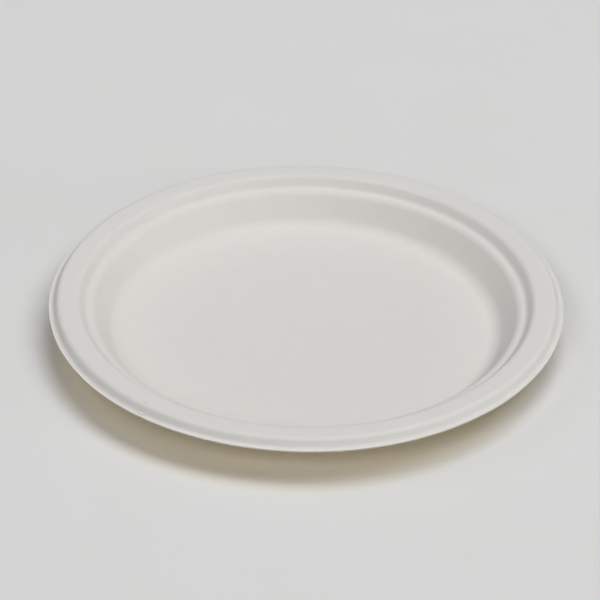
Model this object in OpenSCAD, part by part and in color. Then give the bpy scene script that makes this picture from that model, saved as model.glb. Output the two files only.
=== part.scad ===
// Round paper plate, pressed in one piece from wet fibre pulp between heated moulds.
// One sheet of even thickness runs from the flat floor up a sloping wall, over a stacking
// ledge and a short riser to the rim, then turns down to a narrow trimmed lip. The runs meet
// in round bends. The section below is drawn along the sheet's middle line and turned about Z.
// Origin: centre of the floor's underside, on the table. +Z is up.

/* [Sheet] */
// Diameter over the trimmed lip
plate_d = 229; // [180:1:320]
// Thickness of the pressed sheet
sheet_t = 0.6; // [0.4:0.05:1]

/* [Wall] */
// Rise of the wall from the floor to the ledge
wall_rise = 13; // [8:0.5:20]
// Slope of the wall, in degrees from level
wall_slope = 56; // [40:1:70]
// Radius of the bend between the floor and the wall
floor_bend = 8; // [4:0.5:16]

/* [Stacking ledge] */
// Width of the ledge that the next plate of a stack sits on
ledge_w = 3.5; // [1.5:0.1:6]
// Slope of the ledge, in degrees from level
ledge_slope = 5; // [0:1:30]
// Radius of the bend between the wall and the ledge
ledge_bend = 4; // [2:0.5:8]

/* [Riser] */
// Rise of the short wall from the ledge to the rim
riser_rise = 4.5; // [2:0.1:8]
// Slope of the riser, in degrees from level
riser_slope = 56; // [40:1:70]
// Radius of the bend between the ledge and the riser
riser_bend = 2.8; // [2:0.1:6]

/* [Rim] */
// Width of the rim between the riser and the turned-down edge
rim_w = 9.1; // [4:0.1:20]
// Slope of the rim, in degrees from level, rising outwards
rim_slope = 2.5; // [0:0.5:6]
// Radius of the bend between the riser and the rim
rim_bend = 2.8; // [2:0.1:6]

/* [Turned-down edge] */
// Drop of the edge from the rim to the lip
edge_drop = 4.2; // [2:0.1:8]
// Slope of the edge, in degrees from level, falling outwards
edge_slope = 64; // [35:1:75]
// Radius of the bend between the rim and the edge
edge_bend = 2.2; // [2:0.1:6]
// Width of the narrow lip that the trimming die leaves
lip_w = 2; // [0.8:0.1:4]
// Slope of the lip, in degrees from level, rising outwards
lip_slope = 8; // [0:1:12]
// Radius of the bend between the edge and the lip
lip_bend = 2.2; // [1.5:0.1:4]

/* [Hidden] */
$fn = 180;

// Largest share of a run that its two bends may take up
bend_share = 0.96;
// Largest angle between neighbouring points of a bend, in degrees
bend_step = 10;

// Runs of the middle line beyond the floor, each as [outwards, upwards]
wall = [wall_rise / tan(wall_slope), wall_rise];
ledge = [ledge_w, ledge_w * tan(ledge_slope)];
riser = [riser_rise / tan(riser_slope), riser_rise];
rim = [rim_w, rim_w * tan(rim_slope)];
edge = [edge_drop / tan(edge_slope), -edge_drop];
lip = [lip_w, lip_w * tan(lip_slope)];

// The floor takes what the other runs leave of the radius
floor_r = plate_d / 2 - (wall + ledge + riser + rim + edge + lip).x;
runs = [[floor_r, 0], wall, ledge, riser, rim, edge, lip];
bends = [floor_bend, ledge_bend, riser_bend, rim_bend, edge_bend, lip_bend];

// Unit vectors along a heading and to its left
function along(angle) = [cos(angle), sin(angle)];
function left_of(angle) = [-sin(angle), cos(angle)];

// Where run i starts, with sharp corners, and the angle at which it runs
function corner(i) = i == 0 ? [0, sheet_t / 2] : corner(i - 1) + runs[i - 1];
function heading(i) = atan2(runs[i].y, runs[i].x);

// Bend i joins run i to run i + 1: how far the sheet turns, to the left when positive
function turn(i) = heading(i + 1) - heading(i);

// Length of run that bend i takes up on each side of its corner at its full radius
function full_reach(i) =
    i < 0 || i >= len(bends) ? 0 : bends[i] * tan(abs(turn(i)) / 2);

// A bend too large for the runs beside it keeps the share of its radius that fits
function share_on(run) = bend_share * norm(runs[run]) / (full_reach(run - 1) + full_reach(run));
function bend_r(i) = bends[i] * min(1, share_on(i), share_on(i + 1));
function reach(i) = bend_r(i) * tan(abs(turn(i)) / 2);

// Centre of bend i, and its distance from the middle line, to the left when positive
function to_centre(i) = sign(turn(i)) * bend_r(i);
function centre(i) =
    corner(i + 1) - reach(i) * along(heading(i)) + to_centre(i) * left_of(heading(i));

// Points of bend i on one face of the sheet: side is 1 on the food side, -1 underneath
function bend_points(i, side) =
    let (steps = ceil(abs(turn(i)) / bend_step))
    [for (k = [0 : steps])
        centre(i) + (side * sheet_t / 2 - to_centre(i)) * left_of(heading(i) + turn(i) * k / steps)];

// One face of the sheet from the axis to the edge, as an offset of the middle line. The die trims
// the edge upright.
function face(side) =
    let (offset_up = [0, side * sheet_t / 2])
    [
        corner(0) + offset_up,
        for (i = [0 : len(bends) - 1]) each bend_points(i, side),
        corner(len(runs)) + offset_up
    ];

// Section of the sheet on one side of the axis
module section() {
    under = face(-1);
    polygon([each face(1), for (k = [len(under) - 1 : -1 : 0]) under[k]]);
}

module plate() {
    color([0.85, 0.84, 0.82]) rotate_extrude() section();
}

plate();
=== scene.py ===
"""The looks of a round plate pressed in one piece from white fibre pulp.

The plate is one closed surface of revolution: the food side and the underside are offsets of the
sheet's middle line by half its thickness, and a trimmed edge joins them. Millimetres are turned into
metres by MM, and +Z is up, with the plate standing on its floor at the origin.
"""
import math

import bpy
import numpy as np
from mathutils import Matrix, Vector


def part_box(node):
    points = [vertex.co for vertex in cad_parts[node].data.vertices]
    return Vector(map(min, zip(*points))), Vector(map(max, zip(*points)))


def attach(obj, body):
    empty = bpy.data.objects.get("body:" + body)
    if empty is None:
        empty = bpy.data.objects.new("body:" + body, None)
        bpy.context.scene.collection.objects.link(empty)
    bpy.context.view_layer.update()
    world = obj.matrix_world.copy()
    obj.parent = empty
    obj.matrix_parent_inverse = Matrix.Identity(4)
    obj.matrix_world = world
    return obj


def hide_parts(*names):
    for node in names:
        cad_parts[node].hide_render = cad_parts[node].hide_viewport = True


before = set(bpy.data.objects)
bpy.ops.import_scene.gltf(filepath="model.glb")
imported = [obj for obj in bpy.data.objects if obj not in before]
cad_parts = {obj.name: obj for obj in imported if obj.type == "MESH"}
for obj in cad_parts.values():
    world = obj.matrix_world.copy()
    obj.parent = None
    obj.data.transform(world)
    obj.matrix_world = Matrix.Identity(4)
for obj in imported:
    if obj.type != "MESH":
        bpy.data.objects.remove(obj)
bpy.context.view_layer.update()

MM = 0.001
plate_low, plate_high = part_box("plate")
PLATE_RADIUS = (plate_high.x - plate_low.x) / 2

# Section of the sheet, as it is pressed: thickness, then the runs and bends from the floor outwards
SHEET = 0.6 * MM
WALL_RISE, WALL_SLOPE = 13 * MM, 56
LEDGE_WIDTH, LEDGE_SLOPE = 3.5 * MM, 5
RISER_RISE, RISER_SLOPE = 4.5 * MM, 56
RIM_WIDTH, RIM_SLOPE = 9.1 * MM, 2.5
EDGE_DROP, EDGE_SLOPE = 4.2 * MM, 64
LIP_WIDTH, LIP_SLOPE = 2 * MM, 8
BEND_RADII = [8 * MM, 4 * MM, 2.8 * MM, 2.8 * MM, 2.2 * MM, 2.2 * MM]

# Fineness of the mesh
AZIMUTHS = 504
BEND_STEP = math.radians(6)
FLOOR_RINGS = 20
RUN_RINGS = 2

# Material slots of the plate's mesh
FOOD_SIDE, TRIMMED_EDGE, UNDERSIDE = 0, 1, 2

# How far the dried sheet departs from a true surface of revolution: the warp grows from a share of the
# radius outwards, the settling is all over, and the trim wanders in and out with one small nick in it
WARP, WARP_START, WARP_ORDERS, WARP_SEED = 0.16 * MM, 0.74, [2, 3, 5], 7
SETTLING, SETTLING_WAVES, SETTLING_LENGTHS, SETTLING_SEED = 0.1 * MM, 12, (18, 50), 11
TRIM_WAVE, TRIM_ORDERS, TRIM_SEED = 0.07 * MM, [7, 12, 19, 31, 47, 73, 110], 13
NICK_AZIMUTH, NICK_WIDTH, NICK_DEPTH = math.radians(-127.4), 1.2 * MM, 0.25 * MM

# Fibre ends and a flake that stand out: distance from the axis in millimetres, azimuth and heading in
# degrees, length and half thickness in millimetres, and shade from pale at 0 to tan at 1
FIBRE_SPOTS = [
    (107.8, -129.2, -50, 1.1, 0.34, 0.0),
    (108.9, -128.6, -60, 1.1, 0.26, 0.9),
    (112.9, -129.1, -38, 3.2, 0.6, 0.0),
    (110.2, -31.4, 60, 0.9, 0.34, 0.0),
    (109.5, -39.3, 20, 1.1, 0.38, 0.0),
    (69.1, 133.9, 0, 0.9, 0.28, 0.7),
]
SPOT_CURL = 0.3

# Stray fibre ends, drawn at random: the share on the floor and how far out they reach there, then spans
# from least to most, which are the distance of the rest, on the rim, the length and the half thickness
# in millimetres and the curl in radians
STRAY_FIBRES, STRAY_SEED = 36, 19
STRAY_ON_FLOOR, STRAY_FLOOR_REACH = 0.7, 78 * MM
STRAY_RIM = (102.5, 108.5)
STRAY_LENGTH, STRAY_HALF_THICKNESS = (0.6, 1.8), (0.03, 0.06)
STRAY_CURL = (0.2, 1.6)

# Rings and sides of a fibre's tube, the share of its length short of each end where the end's radius is
# taken, and its height as a share of its width, after the press flattened it
FIBRE_RINGS, FIBRE_SIDES, FIBRE_END = 9, 6, 0.004
PRESSED_FLAT = 0.4


def tan_deg(angle):
    """The tangent of an angle in degrees."""
    return math.tan(math.radians(angle))


def section_runs():
    """The straight runs of the middle line as (outwards, upwards), with the floor taking what is left."""
    outer = np.array([
        (WALL_RISE / tan_deg(WALL_SLOPE), WALL_RISE),
        (LEDGE_WIDTH, LEDGE_WIDTH * tan_deg(LEDGE_SLOPE)),
        (RISER_RISE / tan_deg(RISER_SLOPE), RISER_RISE),
        (RIM_WIDTH, RIM_WIDTH * tan_deg(RIM_SLOPE)),
        (EDGE_DROP / tan_deg(EDGE_SLOPE), -EDGE_DROP),
        (LIP_WIDTH, LIP_WIDTH * tan_deg(LIP_SLOPE)),
    ])
    floor = (PLATE_RADIUS - outer[:, 0].sum(), 0.0)
    return np.vstack([floor, outer])


def middle_line():
    """Radius, height and heading of the sheet's middle line at each ring, from the axis to the lip.

    Each bend is an arc tangent to its two runs: it starts radius * tan(turn / 2) before their corner,
    and a point on it is the centre minus the signed radius times the normal at its heading.
    """
    runs = section_runs()
    corners = np.vstack([(0.0, SHEET / 2), (0.0, SHEET / 2) + np.cumsum(runs, axis=0)])
    headings = np.arctan2(runs[:, 1], runs[:, 0])
    points, angles = [], []
    start = corners[0]
    for i, radius in enumerate(BEND_RADII):
        turn = headings[i + 1] - headings[i]
        along = np.array([math.cos(headings[i]), math.sin(headings[i])])
        normal = np.array([-math.sin(headings[i]), math.cos(headings[i])])
        bend_start = corners[i + 1] - radius * math.tan(abs(turn) / 2) * along
        rings = FLOOR_RINGS if i == 0 else RUN_RINGS
        share = np.arange(rings)[:, None] / rings
        points.append(start + (bend_start - start) * share)
        angles.append(np.full(rings, headings[i]))
        signed_radius = math.copysign(radius, turn)
        centre = bend_start + signed_radius * normal
        steps = math.ceil(abs(turn) / BEND_STEP)
        arc = headings[i] + turn * np.arange(steps) / steps
        points.append(centre - signed_radius * np.stack([-np.sin(arc), np.cos(arc)], axis=1))
        angles.append(arc)
        end_normal = np.array([-math.sin(headings[i + 1]), math.cos(headings[i + 1])])
        start = centre - signed_radius * end_normal
    share = np.linspace(0, 1, RUN_RINGS + 1)[:, None]
    points.append(start + (corners[-1] - start) * share)
    angles.append(np.full(RUN_RINGS + 1, headings[-1]))
    line = np.concatenate(points)
    heading = np.concatenate(angles)
    heading[-1] = 0.0  # the die trims the edge upright
    return line[:, 0], line[:, 1], heading


def waviness(azimuth, seed, orders, size):
    """A closed wavy line round the plate: a sum of sines of the given orders, seeded in phase and weight."""
    rng = np.random.default_rng(seed)
    waves = np.zeros_like(azimuth)
    phases = rng.uniform(0, 2 * np.pi, len(orders))
    weights = rng.uniform(0.5, 1.0, len(orders))
    for order, phase, weight in zip(orders, phases, weights):
        waves += weight * np.sin(order * azimuth + phase)
    return size * waves / weights.sum()


def departure(x, y):
    """How far the dried sheet lies above a true surface of revolution at the places x, y.

    The warp is a closed wave that grows with the square of the way out from its start to the edge. The
    settling is a sum of level waves that run in all directions.
    """
    way_out = (np.hypot(x, y) / PLATE_RADIUS - WARP_START) / (1 - WARP_START)
    warp = waviness(np.arctan2(y, x), WARP_SEED, WARP_ORDERS, WARP) * np.clip(way_out, 0, 1) ** 2
    rng = np.random.default_rng(SETTLING_SEED)
    ways = rng.uniform(0, 2 * np.pi, SETTLING_WAVES)
    lengths = rng.uniform(*SETTLING_LENGTHS, SETTLING_WAVES) * MM
    phases = rng.uniform(0, 2 * np.pi, SETTLING_WAVES)
    settling = np.zeros_like(x)
    for way, length, phase in zip(ways, lengths, phases):
        settling += np.cos((x * math.cos(way) + y * math.sin(way)) * 2 * np.pi / length + phase)
    return warp + settling * SETTLING / SETTLING_WAVES


def make_plate():
    """The pressed sheet as one closed mesh: food side, trimmed edge and underside.

    A point of either side is the middle line plus or minus half the sheet along its normal, turned about
    the axis and raised by the sheet's departure there. The trim and its nick move the edge in and out.
    """
    radius, height, heading = middle_line()
    azimuth = 2 * np.pi * np.arange(AZIMUTHS) / AZIMUTHS
    trim = waviness(azimuth, TRIM_SEED, TRIM_ORDERS, TRIM_WAVE)
    off_nick = (azimuth - NICK_AZIMUTH + np.pi) % (2 * np.pi) - np.pi
    trim = trim - NICK_DEPTH * np.exp(-(off_nick * PLATE_RADIUS / NICK_WIDTH) ** 2)
    near_edge = np.clip((radius - (PLATE_RADIUS - LIP_WIDTH)) / LIP_WIDTH, 0, 1)[:, None]

    def side_points(side):
        r = (radius - side * SHEET / 2 * np.sin(heading))[:, None] + trim * near_edge
        x, y = r * np.cos(azimuth), r * np.sin(azimuth)
        z = (height + side * SHEET / 2 * np.cos(heading))[:, None] + departure(x, y)
        return np.stack([x, y, z], axis=-1)[1:]

    food, under = side_points(1), side_points(-1)
    rings = len(food)
    poles = np.array([[0.0, 0.0, SHEET], [0.0, 0.0, 0.0]])
    poles[:, 2] += departure(np.zeros(2), np.zeros(2))
    shell = np.concatenate([food, under[::-1]]).reshape(-1, 3)
    ring_starts = np.arange(2 * rings - 1)[:, None] * AZIMUTHS
    this = np.arange(AZIMUTHS)[None, :]
    after = (this + 1) % AZIMUTHS
    next_starts = ring_starts + AZIMUTHS
    corners = [ring_starts + this, next_starts + this, next_starts + after, ring_starts + after]
    quads = np.stack(corners, axis=-1).reshape(-1, 4)
    last = (2 * rings - 1) * AZIMUTHS
    food_cap = np.stack([np.full(AZIMUTHS, len(shell)), this[0], after[0]], axis=-1)
    under_pole = np.full(AZIMUTHS, len(shell) + 1)
    under_cap = np.stack([under_pole, last + after[0], last + this[0]], axis=-1)
    band = np.repeat(np.arange(2 * rings - 1), AZIMUTHS)
    beyond_food = np.where(band == rings - 1, TRIMMED_EDGE, UNDERSIDE)
    finish = np.where(band < rings - 1, FOOD_SIDE, beyond_food)
    finish = np.concatenate([finish, np.full(AZIMUTHS, FOOD_SIDE), np.full(AZIMUTHS, UNDERSIDE)])
    faces = quads.tolist() + food_cap.tolist() + under_cap.tolist()
    return make_object("pressed_plate", np.concatenate([shell, poles]), faces, finish)


def make_object(name, points, faces, finish=None):
    """A smooth mesh object at the origin from its points and faces, with each face's finish."""
    mesh = bpy.data.meshes.new(name)
    mesh.from_pydata(points.tolist(), [], faces)
    mesh.polygons.foreach_set("use_smooth", np.ones(len(faces), bool))
    if finish is not None:
        mesh.polygons.foreach_set("material_index", finish.astype(np.int32))
    mesh.update()
    made = bpy.data.objects.new(name, mesh)
    bpy.context.scene.collection.objects.link(made)
    return made


def food_side_height(x, y):
    """Height of the food side at the places x, y, as it dried."""
    radius, height, heading = middle_line()
    face_radius = radius - SHEET / 2 * np.sin(heading)
    face_height = height + SHEET / 2 * np.cos(heading)
    return np.interp(np.hypot(x, y), face_radius, face_height) + departure(x, y)


def make_loose_fibres():
    """Coarse fibre ends that dried onto the food side, half sunk in it.

    Each is a tube along a level arc. At the share s of its length the heading is the first heading plus
    s times the curl, so the place is the integral of its cosine and sine, and the tube's radius is the
    thickness times the square root of sin(pi s), which closes both ends. The press flattened the tube.
    """
    rng = np.random.default_rng(STRAY_SEED)
    count = len(FIBRE_SPOTS) + STRAY_FIBRES
    on_floor = rng.uniform(size=count) < STRAY_ON_FLOOR
    floor_distance = STRAY_FLOOR_REACH * np.sqrt(rng.uniform(size=count))
    rim_distance = rng.uniform(*STRAY_RIM, count) * MM
    distance = np.where(on_floor, floor_distance, rim_distance)
    azimuth = rng.uniform(0, 2 * np.pi, count)
    length = rng.uniform(*STRAY_LENGTH, count) * MM
    thickness = rng.uniform(*STRAY_HALF_THICKNESS, count) * MM
    heading = rng.uniform(0, 2 * np.pi, count)
    curl = rng.uniform(*STRAY_CURL, count) * rng.choice([-1.0, 1.0], count)
    shade = rng.uniform(0, 1, count) ** 2
    spots = np.array(FIBRE_SPOTS)
    known = len(spots)
    distance[:known], length[:known], thickness[:known] = spots[:, (0, 3, 4)].T * MM
    azimuth[:known], heading[:known] = np.radians(spots[:, (1, 2)]).T
    shade[:known] = spots[:, 5]
    curl[:known] = SPOT_CURL

    share = np.linspace(0, 1, FIBRE_RINGS)[None, :]
    way = heading[:, None] + curl[:, None] * share
    along_x = length[:, None] / curl[:, None] * (np.sin(way) - np.sin(heading)[:, None])
    along_y = -length[:, None] / curl[:, None] * (np.cos(way) - np.cos(heading)[:, None])
    x = (distance * np.cos(azimuth))[:, None] + along_x
    y = (distance * np.sin(azimuth))[:, None] + along_y
    z = food_side_height(x, y)
    tube = thickness[:, None] * np.sqrt(np.sin(np.pi * np.clip(share, FIBRE_END, 1 - FIBRE_END)))
    turn = 2 * np.pi * np.arange(FIBRE_SIDES) / FIBRE_SIDES
    side = tube[:, :, None] * np.cos(turn)
    points = np.stack([
        x[:, :, None] - side * np.sin(way)[:, :, None],
        y[:, :, None] + side * np.cos(way)[:, :, None],
        z[:, :, None] + tube[:, :, None] * np.sin(turn) * PRESSED_FLAT,
    ], axis=-1)
    tube_size = FIBRE_RINGS * FIBRE_SIDES
    tube_starts = np.arange(count)[:, None] * tube_size
    starts = (tube_starts + np.arange(FIBRE_RINGS - 1) * FIBRE_SIDES)[:, :, None]
    next_starts = starts + FIBRE_SIDES
    this = np.arange(FIBRE_SIDES)[None, None, :]
    after = (this + 1) % FIBRE_SIDES
    quads = np.stack([starts + this, next_starts + this, next_starts + after, starts + after], axis=-1)
    first = tube_starts + np.arange(FIBRE_SIDES)
    final = tube_starts + tube_size - FIBRE_SIDES + np.arange(FIBRE_SIDES)
    faces = quads.reshape(-1, 4)[:, ::-1].tolist() + first.tolist() + final[:, ::-1].tolist()
    fibres = make_object("loose_fibres", points.reshape(-1, 3), faces)
    tone = fibres.data.attributes.new("shade", "FLOAT", "POINT")
    tone.data.foreach_set("value", np.repeat(shade, tube_size).astype(np.float32))
    return fibres


def srgb(red, green, blue):
    """A colour given as 0 to 255 display values, made linear."""
    values = np.array([red, green, blue]) / 255
    return tuple(np.where(values <= 0.04045, values / 12.92, ((values + 0.055) / 1.055) ** 2.4))


def add_node(tree, kind, inputs=None, **settings):
    """Adds a node with its settings, and sets or links each input that is named or numbered."""
    made = tree.nodes.new(kind)
    for name, value in settings.items():
        setattr(made, name, value)
    for name, value in (inputs or {}).items():
        if isinstance(value, bpy.types.NodeSocket):
            tree.links.new(value, made.inputs[name])
        else:
            made.inputs[name].default_value = value
    return made


def do_math(tree, operation, first, second=0.0, third=0.0):
    """The output of one Math node."""
    inputs = {0: first, 1: second, 2: third}
    return add_node(tree, "ShaderNodeMath", inputs, operation=operation).outputs[0]


def length_of(tree, vector):
    """The length of a vector, by a Vector Math node."""
    return add_node(tree, "ShaderNodeVectorMath", {0: vector}, operation="LENGTH").outputs["Value"]


def ramp(tree, value, low, high, to_low=0.0, to_high=1.0):
    """The value carried smoothly from the span low..high to the span to_low..to_high."""
    inputs = {"Value": value, "From Min": low, "From Max": high, "To Min": to_low, "To Max": to_high}
    return add_node(tree, "ShaderNodeMapRange", inputs, interpolation_type="SMOOTHSTEP").outputs[0]


def new_effect(name, inputs, output):
    """An empty shader node group with the named number inputs beside Vector and one named output."""
    group = bpy.data.node_groups.new(name, "ShaderNodeTree")
    group.interface.new_socket("Vector", in_out="INPUT", socket_type="NodeSocketVector")
    for label, value in inputs.items():
        socket = group.interface.new_socket(label, in_out="INPUT", socket_type="NodeSocketFloat")
        socket.default_value = value
    group.interface.new_socket(output, in_out="OUTPUT", socket_type="NodeSocketFloat")
    return group, group.nodes.new("NodeGroupInput").outputs, group.nodes.new("NodeGroupOutput").inputs


def finish_effect(group, result, out):
    """Links an effect's result to its output."""
    group.links.new(result, out[0])
    return group


# Span of a noise in which the clouds go from thick to thin
CLOUD_SPAN = (0.3, 0.7)

# Heading and tilt in degrees of each layer of fibres, and how far from its mean a layer's noise still
# shows as a ridge
FIBRE_LAYERS = ((10, 4), (72, -5), (131, 6))
RIDGE_REACH = 0.11

# Least reach of a fleck as a share of the most, and the share of its reach that has its full colour
LEAST_FLECK, FLECK_CORE = 0.35, 0.3


def pulp_clouds():
    """Cloudy thick and thin places where the pulp settled unevenly: layered noise of the given size."""
    group, given, out = new_effect("pulp_clouds", {"Size": 8 * MM}, "Shade")
    scale = do_math(group, "DIVIDE", 1.0, given["Size"])
    noise = add_node(group, "ShaderNodeTexNoise", {
        "Vector": given["Vector"], "Scale": scale, "Detail": 4.0, "Roughness": 0.6})
    return finish_effect(group, ramp(group, noise.outputs["Fac"], *CLOUD_SPAN), out)


def matted_fibres():
    """Fibres that lie over each other in all directions.

    Three noises are drawn out along headings about 60 degrees apart, and each shows as thin ridges
    where it crosses its mean. The highest ridge wins at each point.
    """
    group, given, out = new_effect("matted_fibres", {"Length": 3 * MM, "Width": 0.3 * MM}, "Height")
    across = do_math(group, "DIVIDE", 1.0, given["Width"])
    stretch = add_node(group, "ShaderNodeCombineXYZ", {
        "X": do_math(group, "DIVIDE", 1.0, given["Length"]), "Y": across, "Z": across}).outputs[0]
    height = None
    for heading, tilt in FIBRE_LAYERS:
        turned = add_node(group, "ShaderNodeVectorRotate", {
            "Vector": given["Vector"], "Rotation": (math.radians(tilt), 0.0, math.radians(heading))},
            rotation_type="EULER_XYZ").outputs[0]
        drawn = add_node(group, "ShaderNodeVectorMath", {0: turned, 1: stretch}, operation="MULTIPLY")
        noise = add_node(group, "ShaderNodeTexNoise", {
            "Vector": drawn.outputs[0], "Scale": 1.0, "Detail": 2.0, "Distortion": 0.4}).outputs["Fac"]
        off_mean = do_math(group, "ABSOLUTE", do_math(group, "SUBTRACT", noise, 0.5))
        ridge = ramp(group, off_mean, 0.0, RIDGE_REACH, 1.0, 0.0)
        height = ridge if height is None else do_math(group, "MAXIMUM", height, ridge)
    return finish_effect(group, height, out)


def stray_flecks():
    """Small flecks of fibre that stayed coarse: spots round the seeds of a cell pattern.

    Only the given share of the cells holds one, and it fades out at most the given size from its seed.
    """
    inputs = {"Spacing": 4 * MM, "Size": 0.4 * MM, "Share": 0.1}
    group, given, out = new_effect("stray_flecks", inputs, "Mask")
    cells = add_node(group, "ShaderNodeTexVoronoi", {
        "Vector": given["Vector"], "Scale": do_math(group, "DIVIDE", 1.0, given["Spacing"])})
    chance = add_node(group, "ShaderNodeSeparateColor", {"Color": cells.outputs["Color"]})
    largest = do_math(group, "DIVIDE", given["Size"], given["Spacing"])
    share_of_largest = ramp(group, chance.outputs["Green"], 0.0, 1.0, LEAST_FLECK, 1.0)
    reach = do_math(group, "MULTIPLY", largest, share_of_largest)
    share_of_reach = do_math(group, "DIVIDE", cells.outputs["Distance"], reach)
    spot = ramp(group, share_of_reach, FLECK_CORE, 1.0, 1.0, 0.0)
    holds_one = do_math(group, "LESS_THAN", chance.outputs["Red"], given["Share"])
    return finish_effect(group, do_math(group, "MULTIPLY", spot, holds_one), out)


def screen_imprint():
    """The weave of the forming screen left in the wet side: the product of two sines of its pitch."""
    group, given, out = new_effect("screen_imprint", {"Pitch": 0.8 * MM}, "Height")
    place = add_node(group, "ShaderNodeSeparateXYZ", {"Vector": given["Vector"]})
    turns = do_math(group, "DIVIDE", 2 * math.pi, given["Pitch"])
    warp = do_math(group, "SINE", do_math(group, "MULTIPLY", place.outputs["X"], turns))
    weft = do_math(group, "SINE", do_math(group, "MULTIPLY", place.outputs["Y"], turns))
    crossed = do_math(group, "MULTIPLY", warp, weft)
    return finish_effect(group, do_math(group, "MULTIPLY_ADD", crossed, 0.5, 0.5), out)


def round_the_rim(tree, place):
    """The place as arc length round the rim, distance from the axis and height, for the trimmed edge."""
    split = add_node(tree, "ShaderNodeSeparateXYZ", {"Vector": place})
    azimuth = do_math(tree, "ARCTAN2", split.outputs["Y"], split.outputs["X"])
    arc = do_math(tree, "MULTIPLY", azimuth, PLATE_RADIUS)
    flat = add_node(tree, "ShaderNodeCombineXYZ", {"X": split.outputs["X"], "Y": split.outputs["Y"]})
    distance = length_of(tree, flat.outputs[0])
    unrolled = {"X": arc, "Y": distance, "Z": split.outputs["Z"]}
    return add_node(tree, "ShaderNodeCombineXYZ", unrolled).outputs[0]


CLOUDS, FIBRES, FLECKS, SCREEN = pulp_clouds(), matted_fibres(), stray_flecks(), screen_imprint()

# Sheen of dry pulp and of the table, and the relief of the clouds as a share of the fibres' relief
PULP_SHEEN, TABLE_SHEEN = 0.3, 0.2
CLOUD_RELIEF = 0.6


def place_effect(tree, group, vector, **values):
    """Places an effect in a material with its own values, and gives its output."""
    made = add_node(tree, "ShaderNodeGroup", node_tree=group)
    tree.links.new(vector, made.inputs["Vector"])
    for label, value in values.items():
        made.inputs[label].default_value = value
    return made.outputs[0]


def tint(tree, colour, other, amount):
    """One colour turned into the other by the amount, from 0 to 1."""
    inputs = {0: amount, 6: colour, 7: other}
    return add_node(tree, "ShaderNodeMix", inputs, data_type="RGBA").outputs[2]


def pulp_material(name, colours, cloud, fibre, fleck, rough, relief, screen=None, along_rim=False):
    """Pressed pulp: a cloudy colour with fibres and flecks in it, and their relief as a fine bump.

    colours: mean, thin places, fibres and flecks. cloud: size and strength. fibre: length, width and
    strength. fleck: spacing, size and share of cells. rough: low and high roughness. relief: height of
    the fibres. screen: pitch and height of the forming screen's imprint.
    """
    material = bpy.data.materials.new(name)
    material.use_nodes = True
    tree = material.node_tree
    shader = tree.nodes["Principled BSDF"]
    place = add_node(tree, "ShaderNodeTexCoord").outputs["Object"]
    if along_rim:
        place = round_the_rim(tree, place)
    mean, thin, strand, coarse = [(*colour, 1) for colour in colours]
    clouds = place_effect(tree, CLOUDS, place, Size=cloud[0])
    fibres = place_effect(tree, FIBRES, place, Length=fibre[0], Width=fibre[1])
    flecks = place_effect(tree, FLECKS, place, Spacing=fleck[0], Size=fleck[1], Share=fleck[2])
    colour = tint(tree, mean, thin, do_math(tree, "MULTIPLY", clouds, cloud[1]))
    colour = tint(tree, colour, strand, do_math(tree, "MULTIPLY", fibres, fibre[2]))
    colour = tint(tree, colour, coarse, flecks)
    tree.links.new(colour, shader.inputs["Base Color"])
    rougher = ramp(tree, do_math(tree, "ADD", fibres, clouds), 0.0, 2.0, rough[0], rough[1])
    tree.links.new(rougher, shader.inputs["Roughness"])
    shader.inputs["Specular IOR Level"].default_value = PULP_SHEEN
    height = do_math(tree, "MULTIPLY_ADD", clouds, CLOUD_RELIEF, fibres)
    bump = add_node(tree, "ShaderNodeBump", {"Height": height, "Distance": relief, "Strength": 1.0})
    if screen:
        weave = place_effect(tree, SCREEN, place, Pitch=screen[0])
        bump = add_node(tree, "ShaderNodeBump", {
            "Height": weave, "Distance": screen[1], "Strength": 1.0, "Normal": bump.outputs[0]})
    tree.links.new(bump.outputs[0], shader.inputs["Normal"])
    return material


plate = make_plate()
plate.data.materials.append(pulp_material(
    "food_side",
    (srgb(224, 222, 218), srgb(220, 218, 213), srgb(233, 231, 227), srgb(190, 180, 160)),
    cloud=(9 * MM, 0.5), fibre=(2.6 * MM, 0.22 * MM, 0.5), fleck=(7 * MM, 0.45 * MM, 0.05),
    rough=(0.7, 0.88), relief=0.018 * MM))
plate.data.materials.append(pulp_material(
    "trimmed_edge",
    (srgb(208, 200, 184), srgb(196, 186, 166), srgb(220, 213, 198), srgb(168, 152, 124)),
    cloud=(3 * MM, 0.6), fibre=(1.6 * MM, 0.12 * MM, 0.6), fleck=(3 * MM, 0.5 * MM, 0.12),
    rough=(0.85, 0.98), relief=0.05 * MM, along_rim=True))
plate.data.materials.append(pulp_material(
    "underside",
    (srgb(226, 218, 201), srgb(219, 210, 191), srgb(233, 226, 211), srgb(186, 172, 146)),
    cloud=(6 * MM, 0.6), fibre=(2.6 * MM, 0.28 * MM, 0.4), fleck=(6 * MM, 0.5 * MM, 0.06),
    rough=(0.82, 0.96), relief=0.03 * MM, screen=(0.9 * MM, 0.04 * MM)))
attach(plate, "root")
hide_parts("plate")


# Fibre ends: the palest, the most tan, and the tone and strength of the clouds on them
PALE_FIBRE, TAN_FIBRE = (*srgb(244, 242, 237), 1), (*srgb(178, 172, 158), 1)
FIBRE_CLOUD, FIBRE_CLOUDINESS = (*srgb(214, 208, 196), 1), 0.4


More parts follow.
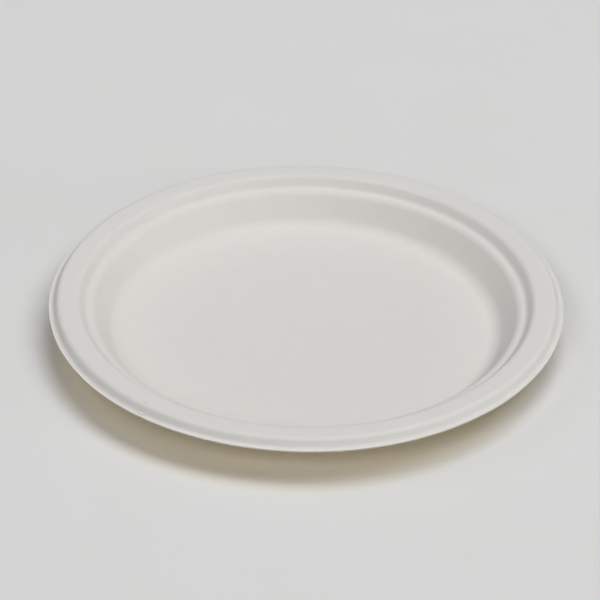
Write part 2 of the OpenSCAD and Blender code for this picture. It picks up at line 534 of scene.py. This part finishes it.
def fibre_material():
    """Fibre ends: pale to tan by their shade, with fine clouds and a dull sheen."""
    material = bpy.data.materials.new("fibre_end")
    material.use_nodes = True
    tree = material.node_tree
    shader = tree.nodes["Principled BSDF"]
    place = add_node(tree, "ShaderNodeTexCoord").outputs["Object"]
    clouds = place_effect(tree, CLOUDS, place, Size=0.4 * MM)
    shade = add_node(tree, "ShaderNodeAttribute", attribute_name="shade").outputs["Fac"]
    colour = tint(tree, PALE_FIBRE, TAN_FIBRE, shade)
    colour = tint(tree, colour, FIBRE_CLOUD, do_math(tree, "MULTIPLY", clouds, FIBRE_CLOUDINESS))
    tree.links.new(colour, shader.inputs["Base Color"])
    tree.links.new(ramp(tree, clouds, 0.0, 1.0, 0.6, 0.85), shader.inputs["Roughness"])
    shader.inputs["Specular IOR Level"].default_value = PULP_SHEEN
    return material


loose_fibres = make_loose_fibres()
loose_fibres.data.materials.append(fibre_material())
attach(loose_fibres, "root")


# Width of the table in metres and its two tones, the colour of the studio behind it, and the distances
# in metres over which the table fades into that colour
TABLE_WIDTH = 6.0
TABLE_TONE, TABLE_CLOUD = (*srgb(229, 229, 229), 1), (*srgb(228, 228, 227), 1)
BACKDROP = (*srgb(213, 213, 213), 1)
FADE_START, FADE_END = 0.5, 1.6
# Painted shade: the table is painted cream under the plate so that the shade there looks warm. The cream
# ends over these distances from a place nearer the camera than the middle, as the shade falls that way
PAINTED_WARM_SHADE = (*srgb(239, 231, 213), 1)
PAINTED_SHADE_CENTRE = (-4.5 * MM, -12.5 * MM, 0)
PAINTED_SHADE_START, PAINTED_SHADE_END = 97 * MM, 117 * MM


def table_material():
    """Pale matt table with very faint clouds and a cream patch of painted shade under the plate; it fades
    into the backdrop far away.

    The fade is for camera rays alone, so that it adds no light.
    """
    material = bpy.data.materials.new("tabletop")
    material.use_nodes = True
    tree = material.node_tree
    shader = tree.nodes["Principled BSDF"]
    place = add_node(tree, "ShaderNodeTexCoord").outputs["Object"]
    clouds = place_effect(tree, CLOUDS, place, Size=60 * MM)
    colour = tint(tree, TABLE_TONE, TABLE_CLOUD, clouds)
    # Painted shade: the colour turns cream round a place under the plate, where its shade falls
    ends = {0: place, 1: PAINTED_SHADE_CENTRE}
    off_painted_shade = add_node(tree, "ShaderNodeVectorMath", ends, operation="DISTANCE").outputs["Value"]
    colour = tint(tree, colour, PAINTED_WARM_SHADE, ramp(tree, off_painted_shade, PAINTED_SHADE_START, PAINTED_SHADE_END, 1.0, 0.0))
    tree.links.new(colour, shader.inputs["Base Color"])
    shader.inputs["Roughness"].default_value = 0.9
    shader.inputs["Specular IOR Level"].default_value = TABLE_SHEEN
    distance = length_of(tree, place)
    seen = add_node(tree, "ShaderNodeLightPath").outputs["Is Camera Ray"]
    fade = do_math(tree, "MULTIPLY", ramp(tree, distance, FADE_START, FADE_END), seen)
    backdrop = add_node(tree, "ShaderNodeEmission", {"Color": BACKDROP}).outputs[0]
    surface = add_node(tree, "ShaderNodeMixShader", {0: fade, 1: shader.outputs[0], 2: backdrop})
    tree.links.new(surface.outputs[0], tree.nodes["Material Output"].inputs["Surface"])
    return material


def make_floor():
    """The tabletop, a level square round the origin."""
    half = TABLE_WIDTH / 2
    corners = [(-half, -half, 0), (half, -half, 0), (half, half, 0), (-half, half, 0)]
    mesh = bpy.data.meshes.new("floor")
    mesh.from_pydata(corners, [], [(0, 1, 2, 3)])
    floor = bpy.data.objects.new("floor", mesh)
    bpy.context.scene.collection.objects.link(floor)
    floor.data.materials.append(table_material())


make_floor()

# Camera: a long lens at the photograph's viewing angle, with its tilts in degrees. Its place is counted
# in plate radii from the height of the lip.
LENS = 210
SENSOR = 36
PITCH, ROLL = 33.36, 0.71
LIP_HEIGHT = 14.8 * MM
EYE = Vector((-0.0245, -11.3735, 7.4925)) * PLATE_RADIUS + Vector((0, 0, LIP_HEIGHT))

# Studio light: round soft boxes by name, azimuth and elevation in degrees, width in metres and power in
# watts, all at one distance
LAMP_DISTANCE = 6.0
SOFT_BOXES = [
    ("high_back", 60, 70, 3.6, 143),
    ("high_right", 0, 55, 3.0, 84),
    ("left", 157, 40, 3.0, 38),
    ("front_left", 247, 40, 3.0, 90),
    ("front_right", 292, 40, 3.0, 37),
    ("low_front", 247, 11, 1.8, 26),
    ("low_right", 337, 11, 1.8, 43),
]


def make_camera():
    """The camera, which looks down at the plate along +Y."""
    camera = bpy.data.objects.new("camera", bpy.data.cameras.new("camera"))
    camera.data.lens = LENS
    camera.data.sensor_width = SENSOR
    camera.location = EYE
    pitch = Matrix.Rotation(math.radians(90 - PITCH), 3, "X")
    roll = Matrix.Rotation(math.radians(ROLL), 3, "Z")
    camera.rotation_euler = (pitch @ roll).to_euler()
    bpy.context.scene.collection.objects.link(camera)
    bpy.context.scene.camera = camera


def make_soft_box(name, azimuth, elevation, size, power):
    """A round area lamp that faces the plate from a direction, in degrees from +X and above the table."""
    lamp = bpy.data.lights.new(name, "AREA")
    lamp.shape = "DISK"
    lamp.energy = power
    lamp.size = size
    a, e = math.radians(azimuth), math.radians(elevation)
    place = Vector((math.cos(a) * math.cos(e), math.sin(a) * math.cos(e), math.sin(e))) * LAMP_DISTANCE
    box = bpy.data.objects.new(name, lamp)
    box.location = place
    box.rotation_euler = (-place).to_track_quat("-Z", "Y").to_euler()
    bpy.context.scene.collection.objects.link(box)


def make_world():
    """A pale backdrop that only the camera sees, so that it adds no light."""
    world = bpy.data.worlds.new("studio")
    world.use_nodes = True
    tree = world.node_tree
    background = tree.nodes["Background"]
    background.inputs["Color"].default_value = BACKDROP
    seen = add_node(tree, "ShaderNodeLightPath").outputs["Is Camera Ray"]
    tree.links.new(seen, background.inputs["Strength"])
    bpy.context.scene.world = world


make_camera()
for soft_box in SOFT_BOXES:
    make_soft_box(*soft_box)
make_world()
bpy.context.scene.view_settings.view_transform = "Standard"
